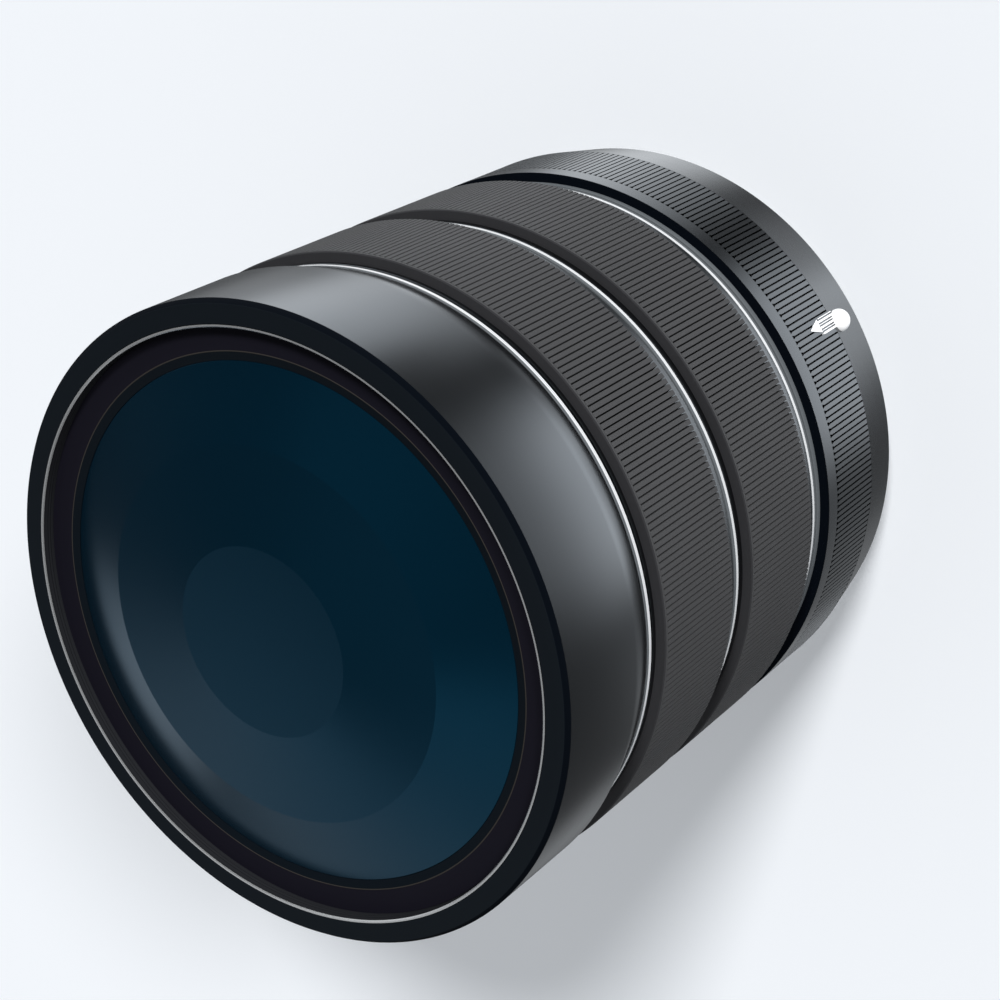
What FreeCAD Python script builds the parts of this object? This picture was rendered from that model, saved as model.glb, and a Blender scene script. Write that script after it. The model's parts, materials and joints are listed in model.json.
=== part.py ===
"""A two-ring zoom lens that stands on its rear mount. Millimetres, with +Z towards the front glass."""
import FreeCAD, Part
import Sketcher
import math
import os

from FreeCAD import Placement, Rotation, Vector

# Driving sizes, in the order that the lens stacks up from its rear rim
SIZES = [
    ("mount_depth", 4.6, "rear rim of the throat to the mount's flange face"),
    ("rear_barrel_length", 17.54, "flange face to the step at the front of the rear barrel"),
    ("spigot_length", 0.72, "narrow nose ahead of that step"),
    ("turn_gap", 0.25, "end gap beside each turning ring"),
    ("stripe_width", 0.85, "width of a bright accent ring"),
    ("zoom_rear_collar", 2.36, "bare metal behind the zoom grip"),
    ("grip_length", 13.2, "length of each ribbed grip"),
    ("zoom_front_collar", 0.85, "bare metal ahead of the zoom grip"),
    ("focus_rear_collar", 2.13, "bare metal behind the focus grip"),
    ("focus_front_collar", 0.55, "bare metal ahead of the focus grip"),
    ("taper_length", 3.83, "cone at the rear of the front barrel"),
    ("front_band_length", 11.72, "plain cylinder of the front barrel"),
    ("barrel_radius", 33.5, "front and rear barrels"),
    ("ring_drop", 1.05, "outside of the barrels down to the bare metal of the turning rings"),
    ("grip_stand", 1.1, "bare metal of a turning ring up to the tips of the grip ribs"),
    ("grip_recess", 0.55, "depth of the groove that a grip sits in"),
    ("stripe_recess", 1.15, "depth of the shoulder that an accent ring sits on"),
    ("ring_wall", 3.02, "bare metal of a turning ring down to its bore"),
    ("rib_depth", 0.35, "height of a rib"),
    ("rib_count", 324, "ribs round a grip"),
    ("knurl_count", 316, "ribs round the rear barrel"),
    ("knurl_length", 8.5, "knurled band of the rear barrel"),
    ("rear_band_length", 7.0, "tapered plain band behind the knurl"),
    ("rear_rim_drop", 1.15, "fall of that band to its rear edge"),
    ("knurl_floor", 0.5, "depth of the turned band under the knurl"),
    ("knurl_drop", 0.05, "plain bands to the tips of the knurl"),
    ("fit_gap", 0.03, "radial gap of pieces that are pressed or screwed together"),
    ("slide_gap", 0.1, "radial gap of pieces that slide or turn"),
    ("guide_wall", 1.2, "wall of the guide tube"),
    ("guide_flange_reach", 2.4, "height of the guide tube's front flange"),
    ("guide_foot", 1.4, "thickness of the guide tube's rear flange"),
    ("sleeve_wall", 1.3, "wall of the cam tube and of the focus sleeve"),
    ("barrel_clearance", 0.35, "rear barrel's bore over the cam tube"),
    ("face_chamfer", 0.4, "radial chamfer at the front face"),
    ("face_drop", 0.5, "axial length of that chamfer"),
    ("filter_inset", 2.72, "outside of the front barrel to the filter thread"),
    ("filter_wall", 0.27, "wall of the filter ring"),
    ("filter_depth", 4.2, "length of the filter ring"),
    ("filter_edge", 0.14, "bright chamfer at the mouth of the filter ring"),
    ("web_thickness", 1.6, "inner web of the front barrel"),
    ("web_lip", 0.8, "reach of that web inside the guide tube's bore"),
    ("name_ring_depth", 1.45, "front face to the retaining ring"),
    ("name_ring_thickness", 1.0, "thickness of the retaining ring"),
    ("name_ring_width", 2.75, "filter thread to the inner edge of the retaining ring's flat"),
    ("name_lip_drop", 0.18, "fall of the lip towards the glass"),
    ("glass_inset", 0.91, "that inner edge to the visible edge of the front glass"),
    ("glass_shoulder", 0.78, "hidden rim of the front glass beyond its visible edge"),
    ("glass_edge_thickness", 4.0, "thickness of that hidden rim"),
    ("glass_rim_depth", 1.66, "front face to the visible edge of the glass"),
    ("outer_zone_width", 7.46, "visible edge to the first crease of the front glass"),
    ("middle_zone_rise", 0.74, "height of that crease ahead of the front face"),
    ("middle_zone_width", 9.74, "first to the second crease of the front glass"),
    ("inner_zone_rise", 2.03, "height of that crease ahead of the front face"),
    ("crown_rise", 0.12, "height of the middle above the second crease"),
    ("corrector_inset", 4.0, "opening of the web to the rim of the second glass"),
    ("corrector_thickness", 4.0, "thickness of that glass at its edge"),
    ("corrector_curve", 90.0, "radius of its hollow face"),
    ("lens_lip", 1.5, "radial width of the lip that carries a glass"),
    ("edge_flat", 1.0, "flat rim round the hollow face of a glass"),
    ("front_lip_height", 1.5, "height of that lip in the front cell"),
    ("focus_lens_radius", 16.0, "glass of the focus group"),
    ("focus_curve", 60.0, "radius of its hollow face"),
    ("focus_cell_length", 10.0, "length of the focus cell"),
    ("focus_travel", 4.0, "travel of the focus cell"),
    ("focus_turn", 100.0, "turn of the focus ring, degrees"),
    ("variator_lens_radius", 11.0, "glass of the variator"),
    ("variator_curve", 30.0, "radius of its hollow face"),
    ("variator_cell_length", 10.0, "length of the variator cell"),
    ("variator_travel", 11.0, "travel of the variator"),
    ("compensator_lens_radius", 11.0, "glass of the compensator"),
    ("compensator_curve", 60.0, "radius of its hollow face"),
    ("compensator_cell_length", 7.0, "length of the compensator cell"),
    ("compensator_travel", 1.8, "travel of the compensator"),
    ("zoom_turn", 75.0, "turn of the zoom ring, degrees"),
    ("cell_gap", 0.4, "least gap between two moving cells"),
    ("cell_seat_height", 4.0, "rear end of a moving cell to its glass"),
    ("lens_inset", 1.5, "edge of a moving glass to the front end of its cell"),
    ("retainer_height", 0.9, "height of a retaining ring"),
    ("retainer_wall", 1.2, "radial width of a retaining ring"),
    ("compensator_standoff", 2.0, "guide tube's floor to the compensator cell"),
    ("pin_height", 2.0, "rear end of a moving cell to its cam pins"),
    ("pin_radius", 0.8, "shank of a cam pin"),
    ("pin_bite", 2.2, "length of the shank in its cell"),
    ("roller_radius", 1.5, "roller of a cam pin"),
    ("roller_gap", 0.08, "gap of a roller in its slot, each side"),
    ("roller_recess", 0.2, "outside of the cam tube to the roller's end"),
    ("slot_spare", 0.3, "length of a slot beyond the roller's last place"),
    ("drive_screw_radius", 0.8, "shank of a drive screw"),
    ("drive_head_radius", 1.4, "head of a drive screw"),
    ("drive_head_height", 0.9, "height of that head"),
    ("drive_screw_setback", 3.0, "front end of a turning tube to its drive screws"),
    ("plate_thickness", 2.0, "plate of the rear mount"),
    ("rear_rim_wall", 1.85, "rear edge of the barrel to the plate's rim"),
    ("rear_web_thickness", 2.4, "inner web of the rear barrel"),
    ("rear_web_reach", 2.8, "bore of the guide tube down to the opening of that web"),
    ("throat_inset", 3.5, "opening of the rear web to the inside of the mount's throat"),
    ("throat_wall", 2.0, "wall of the throat"),
    ("lug_reach", 2.1, "height of a bayonet lug above the throat"),
    ("lug_thickness", 1.5, "axial thickness of a lug"),
    ("lug_angle", 60.0, "arc of a lug, degrees"),
    ("lug_count", 3, "bayonet lugs"),
    ("mount_screw_inset", 3.5, "rim of the plate to the mount screws"),
    ("mount_screw_count", 4, "screws that hold the mount"),
    ("mount_screw_radius", 0.8, "shank of a mount screw"),
    ("mount_head_radius", 1.6, "countersunk head of a mount screw"),
    ("front_screw_reach", 1.2, "outside of the guide tube to the front screws"),
    ("front_screw_count", 3, "screws that hold the front barrel"),
    ("front_screw_radius", 0.5, "shank of a front screw"),
    ("front_head_radius", 1.0, "countersunk head of a front screw"),
    ("relay_flange", 1.0, "flange of the relay cell"),
    ("relay_rear_setback", 1.4, "rear rim of the throat to the relay cell"),
    ("relay_front_radius", 10.0, "front glass of the relay"),
    ("relay_front_thickness", 3.6, "its thickness at the edge"),
    ("relay_front_curve", 40.0, "radius of its hollow face"),
    ("relay_rear_radius", 9.0, "rear glass of the relay"),
    ("relay_rear_thickness", 3.0, "its thickness at the edge"),
    ("relay_rear_curve", 35.0, "radius of its hollow face"),
    ("relay_lip_height", 1.2, "lip between the two relay glasses"),
    ("stop_thickness", 0.8, "aperture stop"),
    ("stop_aperture", 6.5, "radius of its opening"),
    ("baffle_thickness", 0.6, "plate with the rear window"),
    ("window_width", 24.0, "width of the rear window"),
    ("window_height", 16.0, "height of the rear window"),
    ("dot_radius", 1.3, "index bead on the rear barrel"),
    ("dot_setback", 1.65, "knurl to the middle of the bead"),
    ("dot_seat", 1.4, "depth of the drilled seat under the bead"),
]
ROLLER_COUNT = 3
REAR_ANGLE = -90
VARIATOR_ANGLE = 60

doc = FreeCAD.newDocument("ZoomLens")
sheet = doc.addObject("Spreadsheet::Sheet", "Sizes")
for row, (alias, value, note) in enumerate(SIZES, start=1):
    sheet.set(f"A{row}", alias)
    sheet.set(f"B{row}", str(value))
    sheet.setAlias(f"B{row}", alias)
    sheet.set(f"C{row}", note)
doc.recompute()


class Size:
    """A number together with the formula on the sheet that gives it."""

    def __init__(self, number, formula):
        self.number = float(number)
        self.formula = formula

    def __add__(self, other):
        other = as_size(other)
        return Size(self.number + other.number, f"({self.formula} + {other.formula})")

    def __sub__(self, other):
        other = as_size(other)
        return Size(self.number - other.number, f"({self.formula} - {other.formula})")

    def __mul__(self, other):
        other = as_size(other)
        return Size(self.number * other.number, f"({self.formula} * {other.formula})")

    def __truediv__(self, other):
        other = as_size(other)
        return Size(self.number / other.number, f"({self.formula} / {other.formula})")

    def __neg__(self):
        return Size(-self.number, f"(0 - {self.formula})")


def as_size(value):
    """A plain number becomes a constant of the formula."""
    return value if isinstance(value, Size) else Size(value, repr(float(value)))


def root(value):
    return Size(math.sqrt(value.number), f"sqrt({value.formula})")


class SheetSizes:
    """Reads a driving size from the sheet by its alias."""

    def __getattr__(self, alias):
        return Size(getattr(sheet, alias), "Sizes." + alias)


size = SheetSizes()
zero = as_size(0)

# Heights along the axis, each from the one before
flange_face = size.mount_depth
rear_web_low = flange_face + size.plate_thickness
tube_seat = rear_web_low + size.rear_web_thickness
guide_floor = tube_seat + size.guide_foot
cam_low = guide_floor + size.turn_gap
barrel_step = flange_face + size.rear_barrel_length
spigot_end = barrel_step + size.spigot_length
zoom_low = spigot_end + size.turn_gap
zoom_stripe_top = zoom_low + size.stripe_width
zoom_grip_low = zoom_stripe_top + size.zoom_rear_collar
zoom_grip_high = zoom_grip_low + size.grip_length
zoom_shoulder = zoom_grip_high + size.zoom_front_collar
zoom_high = zoom_shoulder + size.stripe_width
focus_low = zoom_high + size.turn_gap
focus_grip_low = focus_low + size.focus_rear_collar
focus_grip_high = focus_grip_low + size.grip_length
focus_high = focus_grip_high + size.focus_front_collar
front_low = focus_high + size.turn_gap
front_shoulder = front_low + size.stripe_width
web_top = front_shoulder + size.web_thickness
crease = front_shoulder + size.taper_length
front_face = crease + size.front_band_length
filter_low = front_face - size.filter_depth
knurl_low = flange_face + size.rear_band_length
knurl_high = knurl_low + size.knurl_length

# Heights of the glass and of the cells that slide
name_ring_face = front_face - size.name_ring_depth
glass_top = name_ring_face - size.name_ring_thickness
glass_low = glass_top - size.glass_edge_thickness
corrector_low = web_top + size.front_lip_height
corrector_top = corrector_low + size.corrector_thickness
compensator_low = guide_floor + size.compensator_standoff
compensator_high = compensator_low + size.compensator_cell_length
variator_low = compensator_high + size.compensator_travel + size.cell_gap + size.variator_travel
variator_high = variator_low + size.variator_cell_length
group_low = variator_high + size.cell_gap + size.focus_travel

# Radii, from the outside of the barrels inwards
ring_radius = size.barrel_radius - size.ring_drop
grip_radius = ring_radius + size.grip_stand
grip_seat_radius = ring_radius - size.grip_recess
stripe_seat_radius = ring_radius - size.stripe_recess
ring_bore = ring_radius - size.ring_wall
sleeve_outer = ring_bore - size.fit_gap
sleeve_bore = sleeve_outer - size.sleeve_wall
guide_outer = sleeve_bore - size.slide_gap
guide_bore = guide_outer - size.guide_wall
cell_radius = guide_bore - size.slide_gap
guide_flange_radius = guide_outer + size.guide_flange_reach
front_screw_circle = guide_outer + size.front_screw_reach

# Radii of the mouth and its glass
filter_radius = size.barrel_radius - size.filter_inset
name_ring_bore = filter_radius - size.name_ring_width
glass_radius = name_ring_bore - size.glass_inset
glass_rim_radius = glass_radius + size.glass_shoulder
middle_zone_radius = glass_radius - size.outer_zone_width
inner_zone_radius = middle_zone_radius - size.middle_zone_width
web_bore = guide_bore - size.web_lip
corrector_radius = web_bore - size.corrector_inset

# Radii of the rear
rear_rim_radius = size.barrel_radius - size.rear_rim_drop
plate_radius = rear_rim_radius - size.rear_rim_wall
mount_screw_circle = plate_radius - size.mount_screw_inset
rear_web_bore = guide_bore - size.rear_web_reach
throat_bore = rear_web_bore - size.throat_inset
throat_outer = throat_bore + size.throat_wall
roller_space = size.roller_radius + size.roller_gap
nodes = []


def node(feature, label):
    """Gives a finished sub-part the name of its file."""
    feature.Label = label
    nodes.append(feature)
    return feature


def bind(feature, path, value):
    """Ties one property of a feature to the sheet."""
    feature.setExpression(path, value.formula)


def origin_part(body, role):
    return next(item for item in body.Origin.OriginFeatures if item.Role == role)


def new_sketch(body, name, plane="XZ_Plane"):
    sketch = body.newObject("Sketcher::SketchObject", name)
    sketch.AttachmentSupport = (origin_part(body, plane), [""])
    sketch.MapMode = "FlatFace"
    return sketch


def place_point(sketch, edge, end, across, up):
    """Holds one end of an edge at its distances from the origin."""
    for kind, value, axis in (("DistanceX", across, -2), ("DistanceY", up, -1)):
        if value.number == 0:
            sketch.addConstraint(Sketcher.Constraint("PointOnObject", edge, end, axis))
        else:
            index = sketch.addConstraint(
                Sketcher.Constraint(kind, -1, 1, edge, end, value.number))
            bind(sketch, f"Constraints[{index}]", value)


def draw_outline(sketch, corners):
    """A closed outline of straight lines through corners of (radius, height)."""
    points = [Vector(across.number, up.number, 0) for across, up in corners]
    count = len(points)
    lines = [Part.LineSegment(points[i], points[(i + 1) % count]) for i in range(count)]
    sketch.addGeometry(lines, False)
    sketch.addConstraint([Sketcher.Constraint("Coincident", i, 2, (i + 1) % count, 1)
                          for i in range(count)])
    for edge, (across, up) in enumerate(corners):
        place_point(sketch, edge, 1, across, up)


def new_body(name):
    return doc.addObject("PartDesign::Body", name)


def revolve(body, name, corners, axis="V_Axis", kind="Revolution", angle=None, start=None):
    """Turns an outline about the lens's axis, or about the outline's own first edge."""
    sketch = new_sketch(body, name + "_outline")
    if start is not None:
        sketch.AttachmentOffset = Placement(Vector(), Rotation(Vector(0, 1, 0), start.number))
        bind(sketch, "AttachmentOffset.Rotation.Angle", start)
    draw_outline(sketch, corners)
    feature = body.newObject("PartDesign::" + kind, name)
    feature.Profile = sketch
    feature.ReferenceAxis = (sketch, [axis])
    feature.Angle = 360 if angle is None else angle.number
    if angle is not None:
        bind(feature, "Angle", angle)
    body.Tip = feature
    return feature


def repeat(body, feature, count):
    """Copies a feature evenly round the lens's axis."""
    pattern = body.newObject("PartDesign::PolarPattern", feature.Name + "_set")
    pattern.Originals = [feature]
    pattern.Axis = (origin_part(body, "Z_Axis"), [""])
    pattern.Angle = 360
    pattern.Occurrences = int(as_size(count).number)
    if isinstance(count, Size):
        bind(pattern, "Occurrences", count)
    body.Tip = pattern
    return pattern


def turned(label, corners):
    """A sub-part that is one plain turning."""
    body = new_body(label)
    revolve(body, label + "_turning", corners)
    return node(body, label)


def ring(label, bore, outer, low, high):
    return turned(label, [(bore, low), (outer, low), (outer, high), (bore, high)])


def bore_inwards(body, name, outline, start, depth):
    """Cuts an outline towards the axis, from a plane at the radius start, on the -Y side."""
    sketch = new_sketch(body, name + "_outline")
    sketch.AttachmentOffset = Placement(Vector(0, 0, start.number), Rotation())
    bind(sketch, "AttachmentOffset.Base.z", start)
    outline(sketch)
    cut = body.newObject("PartDesign::Pocket", name)
    cut.Profile = sketch
    cut.Length = depth.number
    bind(cut, "Length", depth)
    body.Tip = cut
    return cut


def circle_outline(height, radius):
    """A circle on the lens's centre plane, for a radial hole."""
    def draw(sketch):
        sketch.addGeometry(Part.Circle(Vector(0, height.number, 0), Vector(0, 0, 1), radius.number), False)
        sketch.addConstraint(Sketcher.Constraint("PointOnObject", 0, 3, -2))
        place = sketch.addConstraint(Sketcher.Constraint("DistanceY", -1, 1, 0, 3, height.number))
        bind(sketch, f"Constraints[{place}]", height)
        wide = sketch.addConstraint(Sketcher.Constraint("Radius", 0, radius.number))
        bind(sketch, f"Constraints[{wide}]", radius)
    return draw


def slot_outline(low, high, half_width):
    """An upright slot with round ends, whose end arcs are centred at the heights low and high."""
    def draw(sketch):
        w, z0, z1 = half_width.number, low.number, high.number
        up = Vector(0, 0, 1)
        sketch.addGeometry([
            Part.LineSegment(Vector(w, z0, 0), Vector(w, z1, 0)),
            Part.ArcOfCircle(Part.Circle(Vector(0, z1, 0), up, w), 0, math.pi),
            Part.LineSegment(Vector(-w, z1, 0), Vector(-w, z0, 0)),
            Part.ArcOfCircle(Part.Circle(Vector(0, z0, 0), up, w), math.pi, 2 * math.pi)], False)
        sketch.addConstraint([
            Sketcher.Constraint("Coincident", 0, 2, 1, 1), Sketcher.Constraint("Coincident", 1, 2, 2, 1),
            Sketcher.Constraint("Coincident", 2, 2, 3, 1), Sketcher.Constraint("Coincident", 3, 2, 0, 1),
            Sketcher.Constraint("Symmetric", 0, 1, 2, 2, -2),
            Sketcher.Constraint("Symmetric", 0, 2, 2, 1, -2), Sketcher.Constraint("Vertical", 0)])
        for edge, end, height in ((0, 1, low), (0, 2, high), (3, 3, low), (1, 3, high)):
            index = sketch.addConstraint(
                Sketcher.Constraint("DistanceY", -1, 1, edge, end, height.number))
            bind(sketch, f"Constraints[{index}]", height)
        wide = sketch.addConstraint(Sketcher.Constraint("DistanceX", -1, 1, 0, 1, half_width.number))
        bind(sketch, f"Constraints[{wide}]", half_width)
    return draw


def radial_group(label, corners, angle):
    """Like pins or screws that point at the axis, turned about the outline's first edge."""
    body = new_body(label)
    repeat(body, revolve(body, label + "_one", corners, axis="Edge1"), ROLLER_COUNT)
    body.Placement = Placement(Vector(), Rotation(Vector(0, 0, 1), angle))
    return node(body, label)


def screw_corners(circle, tip, head, top, screw_radius, head_radius):
    """A countersunk screw beside the axis: tip, start of the cone and top of the head."""
    return [(circle, tip), (circle, top), (circle + head_radius, top),
            (circle + screw_radius, head), (circle + screw_radius, tip)]


def ribbed_shape(bore, tip, depth, count, height):
    """A sleeve with straight V ribs outside, as one extruded outline."""
    corners = []
    for index in range(2 * count):
        radius = tip - depth * (index % 2)
        angle = math.pi * index / count
        corners.append(Vector(radius * math.cos(angle), radius * math.sin(angle), 0))
    outside = Part.makePolygon(corners + corners[:1])
    inside = Part.Wire([Part.makeCircle(bore)])
    return Part.makeFace([outside, inside], "Part::FaceMakerBullseye").extrude(Vector(0, 0, height))


def ribbed_sleeve(name, bore, tip, count, low, height):
    sleeve = doc.addObject("Part::Feature", name)
    sleeve.Shape = ribbed_shape(bore.number, tip.number, size.rib_depth.number,
                                int(count.number), height.number)
    sleeve.Placement = Placement(Vector(0, 0, low.number), Rotation())
    return sleeve


def polished(label, radius, low, thickness, curve):
    """A round glass with a flat rear face and a hollow front face inside a flat rim."""
    blank = doc.addObject("Part::Cylinder", label + "_blank")
    bind(blank, "Radius", radius)
    bind(blank, "Height", thickness)
    bind(blank, "Placement.Base.z", low)
    ball = doc.addObject("Part::Sphere", label + "_tool")
    ball.Placement = Placement(Vector(), Rotation(Vector(0, 1, 0), 90))
    bind(ball, "Radius", curve)
    reach = radius - size.edge_flat
    bind(ball, "Placement.Base.z", low + thickness + root(curve * curve - reach * reach))
    feature = doc.addObject("Part::Cut", label)
    feature.Base = blank
    feature.Tool = ball
    return node(feature, label)


# Front barrel, its filter ring and its accent ring
front_barrel = new_body("front_barrel")
filter_seat = filter_radius + size.filter_wall + size.fit_gap
front_spigot_bore = guide_flange_radius + size.fit_gap
revolve(front_barrel, "front_barrel_turning", [
    (front_spigot_bore, front_low), (stripe_seat_radius, front_low),
    (stripe_seat_radius, front_shoulder), (ring_radius, front_shoulder),
    (size.barrel_radius, crease), (size.barrel_radius, front_face - size.face_drop),
    (size.barrel_radius - size.face_chamfer, front_face), (filter_seat, front_face),
    (filter_seat, filter_low), (filter_radius, filter_low), (filter_radius, web_top),
    (web_bore, web_top), (web_bore, front_shoulder), (front_spigot_bore, front_shoulder)])
front_screw_hole = size.front_screw_radius + size.fit_gap
front_head_hole = size.front_head_radius + size.fit_gap
front_countersink = web_top - (size.front_head_radius - size.front_screw_radius)
repeat(front_barrel, revolve(front_barrel, "front_screw_hole", screw_corners(
    front_screw_circle, front_shoulder, front_countersink, web_top,
    front_screw_hole, front_head_hole), axis="Edge1", kind="Groove"), size.front_screw_count)
node(front_barrel, "front_barrel")

turned("filter_ring", [
    (filter_radius, filter_low), (filter_seat - size.fit_gap, filter_low),
    (filter_seat - size.fit_gap, front_face), (filter_radius + size.filter_edge, front_face),
    (filter_radius, front_face - size.filter_edge)])

ring("accent_ring_front", stripe_seat_radius + size.fit_gap, ring_radius,
     front_low, front_shoulder)

# Front group: retaining ring, two glasses, their spacer and their cell
lip_bore = glass_radius + size.fit_gap
turned("name_ring", [
    (lip_bore, glass_top), (filter_radius - size.fit_gap, glass_top),
    (filter_radius - size.fit_gap, name_ring_face), (name_ring_bore, name_ring_face),
    (lip_bore, name_ring_face - size.name_lip_drop)])

turned("front_glass", [
    (zero, glass_low), (glass_rim_radius, glass_low), (glass_rim_radius, glass_top),
    (glass_radius, glass_top), (glass_radius, front_face - size.glass_rim_depth),
    (middle_zone_radius, front_face + size.middle_zone_rise),
    (inner_zone_radius, front_face + size.inner_zone_rise),
    (zero, front_face + size.inner_zone_rise + size.crown_rise)])

corrector_seat = corrector_radius + size.fit_gap
corrector_lip_bore = corrector_radius - size.lens_lip
turned("front_cell", [
    (corrector_lip_bore, web_top), (filter_radius - size.fit_gap, web_top),
    (filter_radius - size.fit_gap, glass_top), (glass_rim_radius + size.fit_gap, glass_top),
    (glass_rim_radius + size.fit_gap, glass_low), (corrector_seat, glass_low),
    (corrector_seat, corrector_low), (corrector_lip_bore, corrector_low)])

polished("front_corrector", corrector_radius, corrector_low, size.corrector_thickness, size.corrector_curve)
ring("front_spacer", corrector_lip_bore, corrector_radius, corrector_top, glass_low)

# Guide tube: three straight slots for each sliding cell
guide_tube = new_body("guide_tube")
revolve(guide_tube, "guide_tube_turning", [
    (rear_web_bore, tube_seat), (sleeve_outer, tube_seat), (sleeve_outer, guide_floor),
    (guide_outer, guide_floor), (guide_outer, front_low), (guide_flange_radius, front_low),
    (guide_flange_radius, front_shoulder), (guide_bore, front_shoulder),
    (guide_bore, guide_floor), (rear_web_bore, guide_floor)])


def guide_slots(name, pin_from, pin_to, angle):
    """Straight slots between a cell's first and last pin heights."""
    draw = slot_outline(pin_from - size.slot_spare, pin_to + size.slot_spare, roller_space)
    cut = bore_inwards(guide_tube, name, draw, guide_outer + size.slide_gap,
                       size.guide_wall + size.slide_gap * 2)
    if angle:
        outline = cut.Profile[0]
        turn = math.radians(angle)
        start = guide_outer + size.slide_gap
        outline.AttachmentOffset = Placement(
            Vector(start.number * math.sin(turn), 0, start.number * math.cos(turn)),
            Rotation(Vector(0, 1, 0), angle))
        bind(outline, "AttachmentOffset.Base.x", start * math.sin(turn))
        bind(outline, "AttachmentOffset.Base.z", start * math.cos(turn))
    repeat(guide_tube, cut, ROLLER_COUNT)


compensator_pin = compensator_low + size.pin_height
variator_pin = variator_low + size.pin_height
focus_pin = group_low + size.pin_height
guide_slots("compensator_guide", compensator_pin, compensator_pin + size.compensator_travel, 0)
guide_slots("variator_guide", variator_pin - size.variator_travel, variator_pin, VARIATOR_ANGLE)
guide_slots("focus_guide", focus_pin - size.focus_travel, focus_pin, 0)


def screw_hole_up(body, name, circle, low, height, radius):
    """A blind hole parallel to the axis that starts at a face and runs forwards."""
    return revolve(body, name, [(circle, low), (circle, low + height), (circle + radius, low + height),
                                (circle + radius, low)], axis="Edge1", kind="Groove")


mount_screw_hole = size.mount_screw_radius + size.fit_gap
mount_screw_top = guide_floor - size.slot_spare
repeat(guide_tube, screw_hole_up(guide_tube, "mount_screw_thread", mount_screw_circle, tube_seat,
                                 mount_screw_top - tube_seat, mount_screw_hole), size.mount_screw_count)
repeat(guide_tube, screw_hole_up(guide_tube, "front_screw_thread", front_screw_circle, front_low,
                                 size.stripe_width, front_screw_hole), size.front_screw_count)
node(guide_tube, "guide_tube")

# Front screws, countersunk flush with the web
front_screws = new_body("front_screws")
repeat(front_screws, revolve(front_screws, "front_screw", screw_corners(
    front_screw_circle, front_low, front_countersink, web_top - size.fit_gap,
    size.front_screw_radius, size.front_head_radius), axis="Edge1"), size.front_screw_count)
node(front_screws, "front_screws")


def turning_tube(label, low, high):
    """A tube that turns on the guide tube, with threaded holes for its drive screws."""
    body = new_body(label)
    revolve(body, label + "_turning", [
        (sleeve_bore, low), (sleeve_outer, low), (sleeve_outer, high), (sleeve_bore, high)])
    hole = bore_inwards(body, label + "_screw_hole",
                        circle_outline(high - size.drive_screw_setback,
                                       size.drive_screw_radius + size.fit_gap),
                        ring_bore, size.sleeve_wall + size.fit_gap * 2)
    repeat(body, hole, ROLLER_COUNT)
    return body


def cam_slots(body, name, pin, turn, travel, angle, rising):
    """Helical slots of constant lead that carry three rollers by their travel over the turn."""
    middle = (sleeve_bore + sleeve_outer) / 2
    spare = (roller_space + size.slot_spare) / middle * math.degrees(1)
    lead = travel / turn
    slope = travel * math.degrees(1) / (middle * turn)
    half = roller_space * root(slope * slope + 1)
    if rising:
        start = spare + angle
        low = pin - lead * spare
    else:
        start = as_size(angle) - turn - spare
        low = pin - travel - lead * spare
    sketch = new_sketch(body, name + "_outline")
    sketch.AttachmentOffset = Placement(Vector(), Rotation(Vector(0, 1, 0), start.number))
    bind(sketch, "AttachmentOffset.Rotation.Angle", start)
    inner = sleeve_bore - size.sleeve_wall / 4
    outer = sleeve_outer + size.sleeve_wall / 4
    draw_outline(sketch, [
        (inner, low - half), (outer, low - half), (outer, low + half), (inner, low + half)])
    helix = body.newObject("PartDesign::SubtractiveHelix", name)
    helix.Profile = sketch
    helix.ReferenceAxis = (sketch, ["V_Axis"])
    helix.Mode = "height-turns-angle"
    helix.LeftHanded = rising
    helix.Angle = 0
    bind(helix, "Height", lead * (turn + spare * 2))
    bind(helix, "Turns", (turn + spare * 2) / 360)
    body.Tip = helix
    repeat(body, helix, ROLLER_COUNT)


# Cam tube and focus sleeve
cam_tube = turning_tube("cam_tube", cam_low, zoom_high)
cam_slots(cam_tube, "variator_cam", variator_pin, size.zoom_turn, size.variator_travel,
          REAR_ANGLE + VARIATOR_ANGLE, False)
cam_slots(cam_tube, "compensator_cam", compensator_pin, size.zoom_turn, size.compensator_travel,
          REAR_ANGLE, True)
node(cam_tube, "cam_tube")

focus_sleeve = turning_tube("focus_sleeve", focus_low, focus_high)
cam_slots(focus_sleeve, "focus_cam", focus_pin, size.focus_turn, size.focus_travel, REAR_ANGLE, False)
node(focus_sleeve, "focus_sleeve")


def turning_ring(label, low, high, corners):
    """A ring on one of those tubes, drilled and counterbored for the drive screws."""
    body = new_body(label)
    revolve(body, label + "_turning", corners)
    screw_height = high - size.drive_screw_setback
    seat = grip_seat_radius + size.fit_gap
    hole = bore_inwards(body, label + "_screw_hole",
                        circle_outline(screw_height, size.drive_screw_radius + size.fit_gap),
                        seat, seat - ring_bore + size.fit_gap)
    repeat(body, hole, ROLLER_COUNT)
    head = bore_inwards(body, label + "_head_hole",
                        circle_outline(screw_height, size.drive_head_radius + size.fit_gap),
                        seat, size.drive_head_height + size.fit_gap * 2)
    repeat(body, head, ROLLER_COUNT)
    node(body, label)
    head_top = grip_seat_radius - size.fit_gap
    head_low = head_top - size.drive_head_height
    tip = sleeve_bore + size.slide_gap
    radial_group(label.split("_")[0] + "_drive_screws", [
        (tip, screw_height), (head_top, screw_height), (head_top, screw_height + size.drive_head_radius),
        (head_low, screw_height + size.drive_head_radius),
        (head_low, screw_height + size.drive_screw_radius),
        (tip, screw_height + size.drive_screw_radius)], REAR_ANGLE)


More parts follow.
